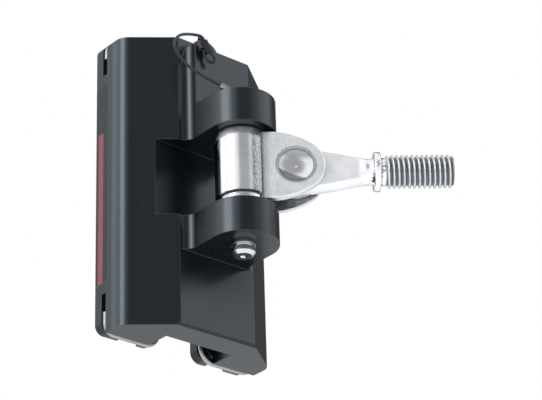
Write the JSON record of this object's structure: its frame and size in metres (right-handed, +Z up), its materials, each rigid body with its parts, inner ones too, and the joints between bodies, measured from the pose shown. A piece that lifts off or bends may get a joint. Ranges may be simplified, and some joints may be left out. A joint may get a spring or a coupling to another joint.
{
  "type": "batten car",
  "caption": "Ball-bearing batten car for a mast track, with a swivel toggle between two ears, a threaded batten stud and a quick pin on a lanyard.",
  "frame": {"origin": "on the face towards the mast, at mid-width and mid-length of the track slot", "axes": "+X away from the mast towards the sail, +Z up the track, +Y across the car"},
  "size_m": [0.0765, 0.0792, 0.0975],
  "materials": {
    "black_anodised": "satin black anodised",
    "black_plastic": "moulded",
    "bush_plastic": "bearing plastic",
    "ball_plastic": "ground balls",
    "label_film": "matt film",
    "red_stripe": "printed film",
    "polished_steel": "polished stainless",
    "turned_steel": "turned stainless",
    "wire_steel": "drawn wire",
    "coated_wire": "coated wire",
    "shrink_sleeve": "matt sleeve"
  },
  "bodies": {
    "car": {"car_body": "black_anodised", "left_upper_end_cap": "black_plastic", "left_lower_end_cap": "black_plastic", "left_guide_wire": "wire_steel", "left_balls": "ball_plastic", "left_side_label": "label_film", "left_red_stripe": "red_stripe", "right_upper_end_cap": "black_plastic", "right_lower_end_cap": "black_plastic", "right_guide_wire": "wire_steel", "right_balls": "ball_plastic", "right_side_label": "label_film", "right_red_stripe": "red_stripe", "upper_thrust_washer": "black_plastic", "lower_thrust_washer": "turned_steel", "lower_spacer": "black_plastic", "pivot_pin": "turned_steel", "detent_ball": "turned_steel", "detent_spring": "turned_steel", "lanyard": "coated_wire", "lanyard_sleeve": "shrink_sleeve", "lanyard_eye": "turned_steel"},
    "toggle": {"toggle": "polished_steel", "upper_bush": "bush_plastic", "lower_bush": "bush_plastic", "stud_pin": "polished_steel"},
    "stud": {"stud": "polished_steel"}
  },
  "joints": [
    {"name": "toggle_swivel", "type": "hinge", "parent": "car", "child": "toggle", "pos_m": [0.0347, 0, 0.0002], "axis": [0, 0, 1], "range_deg": [-162, 58]},
    {"name": "stud_pitch", "type": "hinge", "parent": "toggle", "child": "stud", "pos_m": [0.04443, 0.01245, 0.0002], "axis": [-0.788, 0.6157, 0], "range_deg": [-75, 75]}
  ]
}
